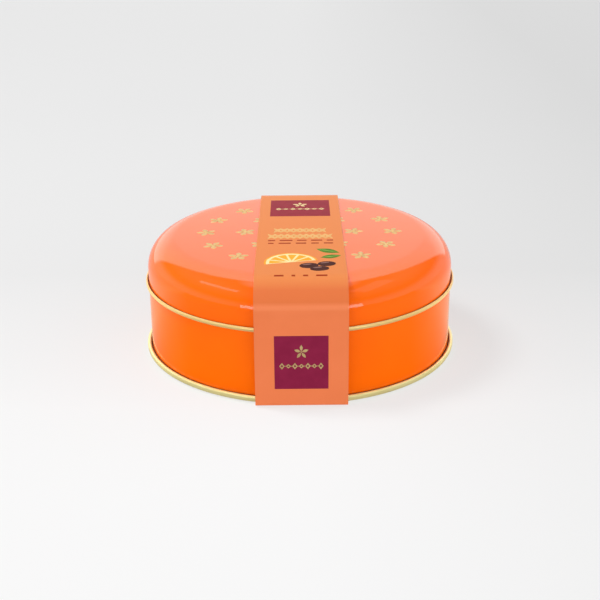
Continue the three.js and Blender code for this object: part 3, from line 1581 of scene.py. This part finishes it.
@dataclass
class Studio:
    """Pale floor, soft lights and what the gloss reflects."""

    floor_radius: float = 6.0
    camera_tone: Colour = (0.81, 0.81, 0.81)
    front_gloom: float = 0.10

    def build(self, effects: Effects) -> None:
        """Set up the floor, the lights and the surroundings.

        Args:
            effects: The shared effects.
        """
        self.floor(effects)
        self.surroundings()
        for lamp in self.lamps():
            lamp.build()
        bpy.context.scene.view_settings.view_transform = "Standard"

    def lamps(self) -> list[Lamp]:
        """The key light, and the strips that the gloss mirrors.

        Returns:
            The lamps.
        """
        key = Vector((-0.68, 0.12, 1.2))
        half = Vector((0.0, 0.2, 0.0))
        return [
            Lamp("key_light", key - half, key + half, 0.4, 20.0, glossy=False, diffuse=True),
            Lamp("left_strip", toward(4.8, -132), toward(4.8, -118), 0.24, 4.8),
            Lamp("right_strip", toward(4.8, -62), toward(4.8, -46), 0.24, 4.8),
            Lamp("left_streak", toward(40, 176), toward(47, -146), 0.16, 2.0),
            Lamp("right_glow", toward(46, -38), toward(50, 5), 0.35, 0.6),
        ]

    def floor(self, effects: Effects) -> None:
        """A wide round floor at the object's foot.

        Args:
            effects: The shared effects.
        """
        made = turned("studio_floor", [(self.floor_radius / MM, 0.0), (0.0, 0.0)], 96)
        made.data.materials.append(StudioPaper().material(effects))

    def surroundings(self) -> None:
        """Soft light from all round, and a bright back and ceiling for the gloss."""
        world = bpy.data.worlds.new("studio_surroundings")
        bpy.context.scene.world = world
        world.use_nodes = True
        bench = NodeBench(world.node_tree)
        x, y, z = bench.split(bench.add("ShaderNodeTexCoord").outputs["Generated"])
        aside = bench.math("ABSOLUTE", x)
        climb = bench.ramp(z, (0.33, 0.0), (0.95, 1.0))
        high = bench.product(bench.math("POWER", climb, 3.0), 1.45)
        low = bench.total(bench.product(climb, 0.9), 0.9)
        even = bench.total(low, high, bench.ramp(z, (0.26, 0.22), (0.36, 0.0)))
        bright = bench.product(even, bench.ramp(x, (0.0, 1.0), (0.5, 0.94)))
        slope = bench.ramp(x, (-0.1, 0.04), (0.1, -0.2))
        reach = bench.ramp(x, (-0.1, 1.14), (0.1, 1.42))
        narrowed = bench.math("SUBTRACT", reach, bench.product(z, 0.48))
        edge = bench.total(bench.product(z, slope), bench.product(aside, narrowed))
        beyond = bench.ramp(bench.math("SUBTRACT", y, edge), (-0.05, 0.0), (0.05, 1.0))
        behind = bench.math("MAXIMUM", beyond, bench.ramp(z, (0.90, 0.0), (0.98, 1.0)))
        gloom = bench.ramp(aside, (0.2, self.front_gloom), (0.9, 0.75))
        falling = bench.ramp(z, (0.16, 1.15), (0.32, 0.30))
        rising = bench.ramp(z, (0.42, 0.30), (0.72, 1.0))
        dimming = bench.math("MAXIMUM", bench.math("MAXIMUM", falling, rising), behind)
        seen_in_gloss = bench.total(bench.product(behind, bright), bench.product(gloom, dimming))
        frontal = bench.product(y, bench.ramp(z, (0.1, -1.25), (0.8, 0.0)))
        flank = bench.product(bench.ramp(aside, (0.5, 0.0), (0.9, 4.0)),
                              bench.ramp(z, (0.3, 1.0), (0.6, 0.0)),
                              bench.ramp(y, (-0.3, 0.0), (0.2, 1.0)))
        fill = bench.total(frontal, flank, bench.product(x, 0.16))
        light = bench.total(bench.ramp(z, (-0.2, 1.10), (1.0, 0.20)), fill)
        path = bench.add("ShaderNodeLightPath").outputs
        shown = bench.blend(path["Is Glossy Ray"], bench.grey(light), bench.grey(seen_in_gloss))
        seen = bench.blend(path["Is Camera Ray"], shown, self.camera_tone)
        bench.fill(world.node_tree.nodes["Background"], {"Color": seen, "Strength": 1.0})


@dataclass
class PhotoCamera:
    """The photograph's camera, fitted to the tin's rims and the sleeve's edges."""

    frame_pixels: float = 600.0
    focal_pixels: float = 1130.0
    distance: float = 0.57985
    elevation: float = 21.5037
    yaw: float = -0.1662
    roll: float = -0.407
    aside: float = 0.0017256
    target_height: float = 0.02106
    sleeve_turn: float = 0.288
    sensor: float = 36.0

    def build(self) -> None:
        """Make the camera and give it to the scene."""
        data = bpy.data.cameras.new("photo_camera")
        data.sensor_fit = "HORIZONTAL"
        data.sensor_width = self.sensor
        data.lens = self.focal_pixels / self.frame_pixels * self.sensor
        data.clip_start, data.clip_end = 0.01, 50.0
        made = bpy.data.objects.new("photo_camera", data)
        tilt = math.radians(self.elevation)
        place = Vector(
            (self.aside, -self.distance * math.cos(tilt),
             self.distance * math.sin(tilt) + self.target_height)
        )
        forward = Vector((0.0, math.cos(tilt), -math.sin(tilt)))
        right = Vector((1.0, 0.0, 0.0))
        up = right.cross(forward)
        yaw, roll = math.radians(self.yaw), math.radians(self.roll)
        forward, right = (
            forward * math.cos(yaw) + right * math.sin(yaw),
            right * math.cos(yaw) - forward * math.sin(yaw),
        )
        right, up = (
            right * math.cos(roll) + up * math.sin(roll),
            up * math.cos(roll) - right * math.sin(roll),
        )
        facing = Matrix((right, up, -forward)).transposed().to_4x4()
        turn = Matrix.Rotation(math.radians(-self.sleeve_turn), 4, "Z")
        made.matrix_world = turn @ Matrix.Translation(place) @ facing
        bpy.context.scene.collection.objects.link(made)
        bpy.context.scene.camera = made


def main() -> None:
    """Build the tin, its sleeve, the studio and the camera, in order."""
    logging.basicConfig(level=logging.INFO, format="%(name)s: %(message)s")
    sizes = TinSizes()
    effects = Effects()
    dresser = Dresser(effects)
    for part in (Lid(sizes, dresser), Can(sizes, dresser), Sleeve(sizes, dresser)):
        part.build()
        log.info("%s done", type(part).__name__)
    Studio().build(effects)
    PhotoCamera().build()


if __name__ == "__main__":
    main()
